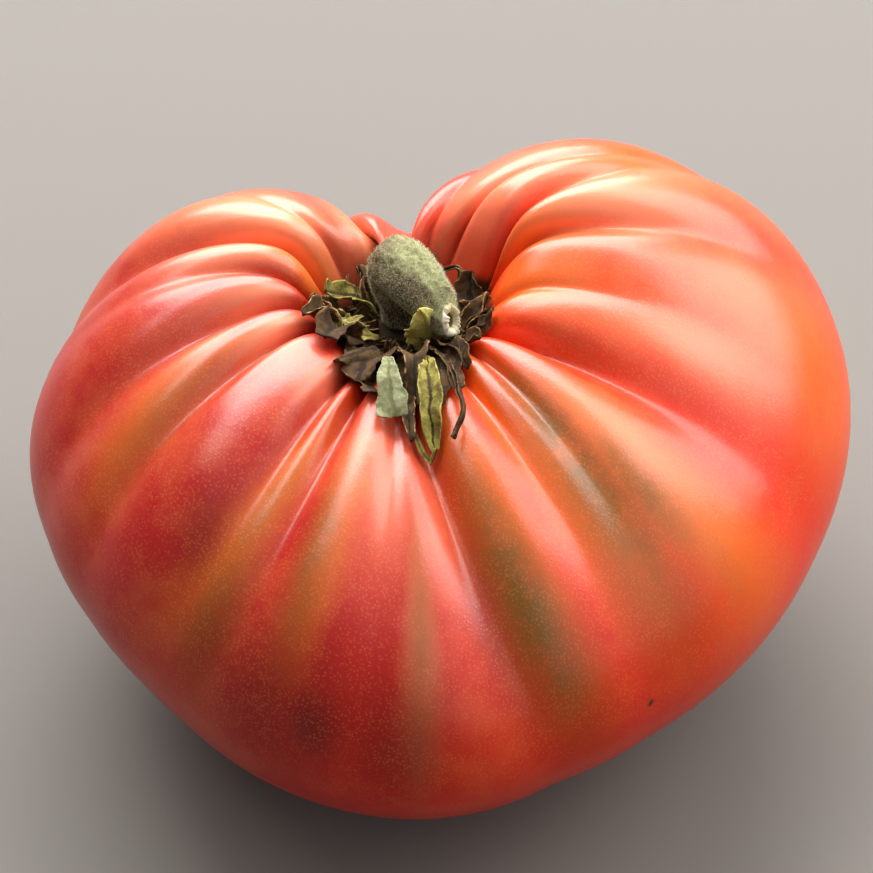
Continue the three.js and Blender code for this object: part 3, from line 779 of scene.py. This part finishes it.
# Every sepal is one or more torn blades. A path gives azimuth about the calyx, distance from it and
# clearance above the skin. belly is where a blade is widest, as a share of its length. neck and tip are
# its widths at the ends, as shares of the widest, and late is how slowly it widens. fold and curl are
# degrees: how steeply its halves rise, and how much more they turn up towards the edge. face turns the
# whole blade about its path and twist turns it over its length, in degrees. wave is the height of the
# ripples along its edges, and jag is how ragged they are, as a share of the half-width.
SEPALS = {
    "sepal_01": ("dark", [
        dict(path=[(332, 4.5, 2.0), (352, 7.8, 3.0), (12, 9.0, 3.2), (29, 10.2, 3.0)], width=5.8,
             belly=0.55, tip=0.35, neck=0.7, fold=12, curl=30, wave=0.6, jag=0.35),
        dict(path=[(338, 4.0, 1.2), (344, 8.0, 1.5), (352, 11.4, 1.5)], width=5.4, belly=0.55, tip=0.35,
             fold=10, curl=25, wave=0.5, jag=0.35),
        dict(path=[(14, 3.4, 1.2), (12, 6.6, 1.6), (14, 9.6, 2.0)], width=4.2, tip=0.4, fold=15, curl=40,
             wave=0.5),
    ]),
    "sepal_02": ("tan", [
        dict(path=[(56, 4.2, 2.6), (53, 8.4, 3.2), (44, 9.4, 3.4), (38, 9.5, 3.0), (33, 8.9, 2.6)],
             width=1.5, belly=0.35, tip=0.4, fold=30, curl=60, twist=60, jag=0),
    ]),
    "sepal_03": ("dark", [
        dict(path=[(72, 3.6, 1.2), (71, 7.2, 2.2), (69, 10.2, 2.0)], width=4.0, belly=0.4, fold=20,
             curl=30, wave=0.5),
    ]),
    "sepal_04": ("dark", [
        dict(path=[(97, 3.6, 1.4), (98, 6.6, 2.0), (100, 8.6, 1.8)], width=3.6, belly=0.35, fold=20,
             curl=30, wave=0.5),
        dict(path=[(118, 3.6, 1.2), (119, 6.6, 2.0), (116, 9.4, 2.4)], width=3.4, belly=0.4, fold=10,
             curl=40, wave=0.5),
    ]),
    "sepal_05": ("tan", [
        dict(path=[(148, 3.6, 2.4), (142, 5.0, 3.6), (136, 6.8, 4.8), (132, 8.6, 4.6)], width=2.3,
             belly=0.45, neck=0.7, fold=35, curl=60, twist=140, wave=0.5),
        dict(path=[(160, 3.4, 2.0), (156, 5.0, 3.4), (148, 6.2, 5.2), (138, 7.0, 5.8)], width=1.5,
             belly=0.45, neck=0.7, fold=25, curl=50, twist=-90),
        dict(path=[(136, 3.6, 1.4), (134, 6.2, 2.4), (131, 9.2, 3.0)], width=3.6, fold=20, curl=40,
             wave=0.5),
    ]),
    "sepal_06": ("green", [
        dict(path=[(150, 4.4, 2.6), (153, 6.8, 3.6), (160, 8.4, 4.0), (175, 10.2, 3.8)], width=3.8,
             belly=0.6, tip=0.8, neck=0.7, fold=8, curl=45, wave=0.3, jag=0.1),
    ]),
    "sepal_07": ("star", [
        dict(path=[(196, 5.0, 3.0), (205, 7.4, 3.6), (213, 9.2, 4.0), (220, 10.8, 3.8)], width=2.0,
             belly=0.75, tip=0.7, neck=0.4, fold=10, curl=40, wave=0.3),
        dict(path=[(219, 10.8, 4.0), (208, 10.2, 4.9), (197, 10.4, 5.4)], width=1.6, belly=0.3, tip=0.4,
             neck=0.9, fold=10, curl=25, jag=0.1),
        dict(path=[(219, 10.6, 4.0), (212, 8.0, 5.2), (208, 5.8, 6.2)], width=1.6, belly=0.3, tip=0.4,
             neck=0.9, fold=10, curl=25, jag=0.1),
        dict(path=[(216, 10.4, 3.8), (225, 8.2, 4.6), (238, 6.2, 4.6)], width=3.4, belly=0.3, tip=0.15,
             neck=0.7, fold=10, curl=20, wave=0.2, jag=0.15),
        dict(path=[(210, 9.4, 4.0), (202, 7.8, 4.6), (196, 7.4, 5.4)], width=1.7, belly=0.3, fold=15,
             curl=30, jag=0.2),
    ]),
    "sepal_08": ("tan", [
        dict(path=[(196, 3.8, 1.2), (203, 8.0, 1.8), (208, 12.0, 1.8), (212, 15.0, 1.6)], width=5.0,
             belly=0.6, tip=0.35, fold=20, curl=45, wave=0.6),
        dict(path=[(174, 3.8, 1.4), (182, 6.8, 2.0), (188, 9.6, 2.4), (192, 12.4, 2.0)], width=4.6,
             belly=0.6, tip=0.4, fold=15, curl=45, wave=0.6),
    ]),
    "sepal_09": ("dark", [
        dict(path=[(214, 3.4, 1.0), (221, 8.8, 1.8), (227, 12.6, 2.2), (232, 16.0, 1.8)], width=6.2,
             belly=0.65, tip=0.5, fold=15, curl=35, wave=0.7),
        dict(path=[(222, 3.6, 2.0), (229, 7.0, 3.0), (232, 10.4, 3.4), (238, 13.6, 2.8)], width=4.2,
             belly=0.6, tip=0.4, fold=-10, curl=-35, wave=0.6),
    ]),
    "sepal_10": ("tan", [
        dict(path=[(240, 4.4, 2.4), (247, 7.6, 3.6), (249, 11.0, 3.9), (247, 14.4, 3.2),
             (243, 18.2, 2.4)], width=4.8, tip=0.25, neck=0.7, fold=-20, curl=-35, twist=-25, wave=0.6,
             jag=0.25),
    ]),
    "sepal_11": ("dark", [
        dict(path=[(240, 3.6, 1.0), (246, 9.2, 1.9), (251, 14.6, 2.0), (253, 19.2, 1.6)], width=6.4,
             belly=0.7, tip=0.6, fold=10, curl=35, wave=0.8),
        dict(path=[(256, 3.8, 1.0), (259, 8.6, 1.2), (260, 14.6, 1.3), (261, 22.0, 1.3)], width=5.6,
             belly=0.6, tip=0.5, fold=0, curl=12, wave=0.3),
    ]),
    "sepal_12": ("grey", [
        dict(path=[(263.6, 15.6, 2.8), (264.3, 18.4, 3.5), (265.4, 20.8, 3.6), (266.6, 23.0, 3.2),
             (267.9, 25.8, 2.4)], width=4.2, belly=1.0, tip=1.0, neck=0.10, late=1.2, fold=4, curl=16,
             wave=0.25, jag=0.16),
    ]),
    "sepal_13": ("tan", [
        dict(path=[(274, 3.8, 1.2), (272, 10.0, 2.2), (271, 18.0, 2.0), (272, 24.6, 1.7),
             (273, 28.4, 1.6)], width=3.8, belly=0.6, fold=20, curl=40, wave=0.5),
        dict(path=[(282, 4.0, 1.4), (279, 9.0, 2.2), (276, 15.0, 1.9), (275, 21.4, 1.4)], width=4.6,
             tip=0.35, fold=15, curl=40, wave=0.6),
    ]),
    "sepal_14": ("fuzzy_lit", [
        dict(path=[(301, 7.2, 1.4), (297, 8.0, 4.0), (294, 8.8, 6.6), (290, 9.4, 9.2), (285, 9.4, 11.6)],
             width=6.8, belly=0.42, tip=0.05, neck=0.5, fold=6, curl=18, face=30, wave=0.35, jag=0.2),
    ]),
    "sepal_15": ("green", [
        dict(path=[(282.5, 15.0, 1.4), (280.3, 18.4, 2.0), (279.2, 22.2, 2.6), (278.5, 25.0, 2.8),
             (278.2, 27.0, 2.4), (278.7, 29.4, 1.6)], width=3.7, belly=0.55, tip=0.32, neck=0.2, late=1.2,
             fold=20, curl=30, twist=8, wave=0.2, jag=0.1),
        dict(path=[(278.7, 29.2, 1.8), (277.2, 29.8, 1.6), (275.0, 29.2, 1.5), (273.6, 27.0, 1.6)],
             width=1.0, belly=0.4, tip=0.5, fold=10, curl=20, jag=0),
    ]),
    "sepal_16": ("dark", [
        dict(path=[(300, 5.0, 1.2), (293, 14.0, 1.6), (290, 20.0, 1.7), (288, 24.6, 1.8),
             (287, 27.0, 1.9), (282.5, 30.0, 2.1)], width=2.0, belly=0.3, tip=0.5, neck=0.9, fold=40,
             curl=60, twist=60, jag=0.2),
        dict(path=[(294, 6.0, 1.1), (288, 13.0, 1.2), (284, 19.0, 1.2), (281, 24.0, 1.2)], width=5.6,
             fold=0, curl=10, wave=0.3, jag=0.35),
        dict(path=[(300, 4.0, 1.2), (296, 11.0, 1.6), (291.5, 17.0, 1.6), (289, 22.8, 1.5)], width=4.8,
             belly=0.45, tip=0.35, fold=20, curl=40, wave=0.6),
    ]),
    "sepal_17": ("dark", [
        dict(path=[(308, 5.0, 1.2), (315, 8.6, 1.8), (324, 11.4, 2.0), (332, 13.3, 1.8)], width=3.6,
             belly=0.6, tip=0.35, fold=-10, curl=-35, wave=0.5, jag=0.2),
        dict(path=[(318, 4.0, 1.2), (322, 8.0, 1.4), (328, 13.0, 1.4)], width=5.4, tip=0.4, fold=8,
             curl=20, wave=0.5, jag=0.35),
        dict(path=[(306, 3.8, 1.2), (306, 8.0, 1.6), (308, 12.0, 1.7), (311, 15.4, 1.6)], width=4.8,
             tip=0.35, fold=20, curl=40, wave=0.6, jag=0.25),
        dict(path=[(301, 6.0, 1.2), (300, 11.0, 1.6), (298, 15.0, 1.6), (297, 18.8, 1.5)], width=3.6,
             tip=0.35, fold=20, curl=40, wave=0.6),
    ]),
    "sepal_18": ("tan", [
        dict(path=[(316, 5.0, 1.6), (325, 8.4, 2.2), (340, 9.9, 2.4), (354, 11.3, 2.2)], width=3.4,
             belly=0.6, fold=25, curl=30, wave=0.4, jag=0.2),
        dict(path=[(354, 3.6, 1.2), (352, 6.8, 1.5), (354, 10.4, 1.5)], width=5.4, tip=0.4, fold=15,
             curl=40, wave=0.5),
    ]),
}
SHREDDED = ("dark", "tan")  # these leaves also have torn, curled strips at their base
SHREDS = 4
SHRED_ALONG = 24


def skin_height(skin, x, y):
    return skin.ray_cast(Vector((x, y, CAD_HIGH.z + 0.02)), Vector((0, 0, -1)))[0].z


def blade_points(skin, calyx, path):
    points = []
    for azimuth, distance, clearance in path:
        x = calyx[0] + distance * MM * math.cos(math.radians(azimuth))
        y = calyx[1] + distance * MM * math.sin(math.radians(azimuth))
        points.append((x, y, skin_height(skin, x, y) + clearance * MM))
    return points


def blade_width(share, belly, tip, neck, late):
    rising = neck + (1 - neck) * np.sin(0.5 * np.pi * np.minimum(share / belly, 1)) ** late
    beyond = np.clip((share - belly) / max(1 - belly, 1e-6), 0, 1)
    falling = tip + (1 - tip) * np.cos(0.5 * np.pi * beyond)
    return np.where(share < belly, rising, falling)


def folded_section(fold, curl):
    """Reach and rise of a cross-section of half-width 1, from edge to edge."""
    lean = np.radians(fold + curl * np.linspace(0, 1, BLADE_HALF + 1))
    reach = np.concatenate([[0], np.cumsum(np.cos(lean[1:]))]) / BLADE_HALF
    rise = np.concatenate([[0], np.cumsum(np.sin(lean[1:]))]) / BLADE_HALF
    return np.concatenate([-reach[:0:-1], reach]), np.concatenate([rise[:0:-1], rise])


def blade_directions(centres, turn):
    """Directions across a blade and up from it, turned about its path."""
    tangents = unit(np.gradient(centres, axis=0))
    chord = centres[-1] - centres[0]
    across = unit(np.array([-chord[1], chord[0], 0]))
    across = unit(across - (tangents @ across)[:, None] * tangents)
    up = np.cross(tangents, across)
    cosine, sine = np.cos(turn)[:, None], np.sin(turn)[:, None]
    return cosine * across + sine * up, cosine * up - sine * across


def torn_edges(share, seed):
    """Noise along the two edges of a blade, in two columns."""
    total = 0
    for depth, scale, places in TEARS:
        lines = [np.stack([share * scale, 0 * share + place, 0 * share], -1) for place in places]
        total = total + depth * np.stack([rough(line, 1.0, seed) for line in lines], -1)
    return total


def crumples(points, seed):
    """How far each point moves, in millimetres."""
    total = 0
    for height, scale, shift in CRUMPLES:
        moved = Vector(shift) * seed
        total = total + height * np.array([noise.noise_vector(Vector(p) * scale + moved) for p in points])
    return total


def blade(skin, calyx, seed, path, width, belly=0.5, tip=0.3, neck=0.8, late=1.0, fold=0, curl=0,
          face=0, twist=0, wave=0.0, jag=0.3, along=BLADE_ALONG):
    """Vertices and faces of one thin blade, and how far each vertex is from its middle line."""
    centres = smooth_path(blade_points(skin, calyx, path), along)
    share = np.linspace(0, 1, along)
    v = np.linspace(-1, 1, 2 * BLADE_HALF + 1)
    left = v < 0
    turn = np.radians(face) + np.radians(twist) * (share - TURN_START)
    across, up = blade_directions(centres, turn)
    reach, rise = folded_section(fold, curl)
    half = 0.5 * width * MM * blade_width(share, belly, tip, neck, late)
    ragged = torn_edges(share, seed)
    edge = 1 + jag * np.where(left, ragged[:, :1], ragged[:, 1:]) * np.abs(v) ** 2
    left_sway = np.sin(2 * np.pi * LEFT_WAVES * share + seed)[:, None]
    right_sway = np.sin(2 * np.pi * RIGHT_WAVES * share + 2 * seed)[:, None]
    ripple = wave * MM * np.where(left, left_sway, right_sway) * np.abs(v) ** 1.5
    grid = (centres[:, None] + (half[:, None] * edge * reach)[..., None] * across[:, None]
            + (half[:, None] * rise + ripple)[..., None] * up[:, None])
    flat = grid.reshape(-1, 3)
    settle = np.repeat(smoothstep(share, 0, SETTLED), len(v))[:, None]
    grid = (flat + settle * crumples(flat, seed) * MM * min(1, width / 2)).reshape(grid.shape)
    normal = -grid_normals(grid)
    if np.mean(np.sum(normal * up[:, None], -1)) < 0:
        normal = -normal
    thick = 0.5 * BLADE_THICKNESS * MM * (1 - EDGE_THINNING * np.abs(v)) * min(1, 0.4 + width / 4)
    rib = BLADE_RIB * MM * np.exp(-((v / RIB_WIDTH) ** 2)) * min(1, width / 2)
    upper = grid + normal * (thick - RIB_DIP * rib)[None, :, None]
    lower = grid - normal * (thick + rib)[None, :, None]
    rings = np.concatenate([lower, upper[:, ::-1]], 1)
    vertices = np.vstack([rings.reshape(-1, 3), grid[0, BLADE_HALF], grid[-1, BLADE_HALF]])
    sides = np.abs(np.concatenate([v, v[::-1]]))
    from_middle = np.concatenate([np.tile(sides, along), [0, 0]])
    return vertices, loft_faces(along, len(sides)), from_middle


def shreds(random, base):
    """Torn strips that curl up near the base of a leaf at this azimuth."""
    for _ in range(SHREDS):
        azimuth, start = base + random.uniform(-16, 16), random.uniform(4.2, 6.5)
        rise, reach, bend = random.uniform(1.4, 3.2), random.uniform(1.8, 4.4), random.uniform(-22, 22)
        path = [
            (azimuth, start, random.uniform(1.2, 2.4)),
            (azimuth + 0.4 * bend, start + 0.5 * reach, 1.4 + rise),
            (azimuth + bend, start + reach, 0.9 + random.uniform(0.4, 1.0) * rise),
        ]
        yield dict(path=path, width=random.uniform(0.7, 1.6), belly=0.4, tip=0.3, neck=0.7, fold=25,
                   curl=60, twist=random.uniform(-160, 160), wave=0.2, jag=0.35, along=SHRED_ALONG)


def build_sepal(skin, calyx, name, kind, blades):
    number = int(name[-2:])
    random = np.random.default_rng(number)
    strips = shreds(random, blades[0]["path"][0][0]) if kind in SHREDDED else []
    vertices, faces, across = [], [], []
    start = 0
    for index, shape in enumerate([*blades, *strips]):
        seed = 7.3 * number + 3.1 * index
        points, own_faces, own_across = blade(skin, calyx, seed, **shape)
        vertices.append(points)
        faces += [tuple(start + corner for corner in face) for face in own_faces]
        across.append(own_across)
        start += len(points)
    return mesh_object(name + "_blade", np.vstack(vertices), faces, {"across": np.concatenate(across)})


# --------------------------------------------------
# Materials of the stalk and the leaves
# --------------------------------------------------

# Shares of the stalk's length between which one colour gives way to another
FOOT_DARKENS, RIM_PALES, PITH_DARKENS = (0.28, 0.08), (0.985, 1.05), (1.14, 1.22)
# Noise scales, in features a metre
STALK_NOISE, FUZZ_NOISE = 260, 1500
PATCH_NOISE, RIM_NOISE, LEAF_GRAIN = 380, 700, 2200

# Kinds of leaf: slot, and the colours of face, blotches, edge and the line along the middle
LEAVES = {
    "dark": ("sepal_brown", (46, 32, 18), (88, 64, 38), (104, 78, 50), (36, 24, 14)),
    "tan": ("sepal_brown", (96, 74, 46), (62, 46, 28), (176, 140, 98), (46, 32, 18)),
    "green": ("sepal_green", (158, 150, 72), (104, 92, 42), (176, 168, 96), (62, 50, 24)),
    "star": ("sepal_green", (158, 152, 80), (128, 112, 58), (180, 174, 106), (150, 104, 62)),
    "grey": ("sepal_grey", (152, 156, 118), (118, 120, 84), (164, 166, 126), (108, 106, 70)),
    # The flap of sepal_14 lies in shade: its colours are lightened as painted light.
    "fuzzy_lit": ("sepal_green", (222, 212, 122), (186, 176, 86), (232, 224, 150), (168, 154, 80)),
}


def stalk_material():
    """Fuzzy green where the stalk faces up and to the right and brown on its other sides and at its foot,
    partly its own colours and partly painted light and shade.
    """
    shader = Shader("stalk", 0.85, Specular_IOR_Level=0.25)
    soft = shader.noise(STALK_NOISE, 4, 0.6)
    fine = shader.noise(FUZZ_NOISE, 3, 0.6)
    fuzz = shader.ranged(fine, 0.35, 0.65)
    along = shader.attribute("along")
    # Painted light and shade: the colour follows which way the surface faces.
    axes = shader.node("ShaderNodeSeparateXYZ")
    shader.feed(axes.inputs[0], shader.node("ShaderNodeNewGeometry").outputs["Normal"])
    facing = shader.math("ADD", axes.outputs["Z"], shader.math("MULTIPLY", axes.outputs["X"], 0.6))
    facing = shader.math("ADD", facing, shader.ranged(soft, 0.3, 0.7, -0.35, 0.35))
    green = shader.mix(fuzz, srgb(114, 116, 74), srgb(152, 152, 110))
    brown = shader.mix(fuzz, srgb(88, 70, 46), srgb(118, 104, 80))
    color = shader.mix(shader.ranged(facing, 0.15, 0.95), brown, green)
    color = shader.mix(shader.ranged(along, *FOOT_DARKENS), color, srgb(52, 38, 22))
    rim = shader.mix(shader.ranged(soft, 0.35, 0.6), srgb(180, 168, 128), srgb(226, 218, 190))
    color = shader.mix(shader.ranged(along, *RIM_PALES), color, rim)
    color = shader.mix(shader.ranged(along, *PITH_DARKENS), color, srgb(110, 98, 44))
    shader.color(color)
    shader.bump(fine, 0.5, 0.0003)
    return shader.material


def plain_material(name, color, roughness):
    shader = Shader(name, roughness, Specular_IOR_Level=0.2)
    shader.color(color)
    return shader.material


def leaf_material(name, face, blotch, edge, vein):
    """A dry leaf: face and blotch colours in patches, a paler edge and a line along the middle."""
    shader = Shader(
        name,
        0.8,
        Specular_IOR_Level=0.2,
        Subsurface_Weight=0.35,
        Subsurface_Scale=0.0006,
        Subsurface_Radius=(1.0, 0.8, 0.4),
    )
    patch = shader.ranged(shader.noise(PATCH_NOISE, 4, 0.65, 0.6), 0.38, 0.62)
    grain = shader.noise(LEAF_GRAIN, 3, 0.6)
    across = shader.attribute("across")
    color = shader.mix(patch, face, blotch)
    line = shader.math("ADD", across, shader.ranged(grain, 0.3, 0.7, -0.08, 0.08))
    color = shader.mix(shader.ranged(line, 0.22, 0.08), color, vein)
    broken = shader.ranged(shader.noise(RIM_NOISE, 3, 0.6), 0.35, 0.65, -0.26, 0.08)
    rim = shader.ranged(shader.math("ADD", across, broken), 0.86, 1.02)
    color = shader.mix(rim, color, edge)
    color = shader.mix(shader.ranged(grain, 0.4, 0.7, 0, 0.3), color, srgb(40, 30, 16))
    shader.color(color)
    shader.bump(grain, 0.5, 0.0002)
    return shader.material


# --------------------------------------------------
# Stage
# --------------------------------------------------

FLOOR_SIZE, FLOOR_GAP = 6, 0.1 * MM
FLOOR_COLOR = (0.19, 0.18, 0.165, 1)
WORLD_STRENGTH = 0.24
LAMP_COLOR = (1, 0.97, 0.95)
LAMP_TARGET = Vector((0, 0, 0.04))
LAMPS = [  # name, place, width and height, watts
    ("window_back", (-0.15, 0.87, 0.78), (1.1, 1.15), 33),
    ("window_right", (0.79, 0.40, 0.78), (0.85, 1.15), 13),
    ("skylight", (-0.35, 0.41, 1.06), (1.2, 0.35), 5.5),
    ("overhead", (-0.10, -0.28, 1.15), (1.0, 1.0), 1.5),
    ("fill", (0.84, -0.60, 0.56), (1.4, 1.4), 4.5),
]


def add_floor():
    bpy.ops.mesh.primitive_plane_add(size=FLOOR_SIZE, location=(0, 0, CAD_LOW.z - FLOOR_GAP))
    floor = bpy.context.object
    floor.name = "floor"
    shader = Shader("floor", 0.9)
    shader.color(FLOOR_COLOR)
    floor.data.materials.append(shader.material)


def add_lamp(name, place, size, power):
    data = bpy.data.lights.new(name, "AREA")
    data.shape = "RECTANGLE"
    data.size, data.size_y = size
    data.energy = power
    data.color = LAMP_COLOR
    lamp = bpy.data.objects.new(name, data)
    lamp.location = place
    lamp.rotation_euler = (Vector(place) - LAMP_TARGET).to_track_quat("Z", "Y").to_euler()
    bpy.context.scene.collection.objects.link(lamp)


def add_world():
    world = bpy.data.worlds.new("studio")
    world.use_nodes = True
    background = world.node_tree.nodes["Background"]
    background.inputs["Color"].default_value = (1, 1, 1, 1)
    background.inputs["Strength"].default_value = WORLD_STRENGTH
    bpy.context.scene.world = world


def finish_piece(piece, material, slot, *nodes):
    piece.data.materials.append(material)
    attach(piece, BODY)
    if nodes:
        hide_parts(*nodes)


add_floor()
for lamp in LAMPS:
    add_lamp(*lamp)
add_world()
bpy.context.scene.view_settings.view_transform = "Standard"

fruit = build_fruit()
finish_piece(fruit, skin_material(), "skin", "fruit")
disc_material = plain_material("calyx_base", srgb(52, 38, 24), 0.9)
finish_piece(build_receptacle(), disc_material, "calyx_base", "receptacle")

pedicel, pedicel_grid = build_pedicel()
finish_piece(pedicel, stalk_material(), "stalk", "pedicel")
around = np.concatenate([pedicel_grid, pedicel_grid[:, :1]], 1)
fuzz = mesh_object("pedicel_hairs", *hairs(around, grid_normals(around)))
finish_piece(fuzz, plain_material("stalk_hair", srgb(196, 196, 160), 0.7), "stalk")

calyx = calyx_point()
skin_corners = [v.co for v in fruit.data.vertices]
skin_faces = [p.vertices for p in fruit.data.polygons]
surface = BVHTree.FromPolygons(skin_corners, skin_faces)
leaf_materials = {}
for kind, (_, *colors) in LEAVES.items():
    leaf_materials[kind] = leaf_material("leaf_" + kind, *(srgb(*color) for color in colors))
for name, (kind, blades) in SEPALS.items():
    sepal = build_sepal(surface, calyx, name, kind, blades)
    finish_piece(sepal, leaf_materials[kind], LEAVES[kind][0], name)
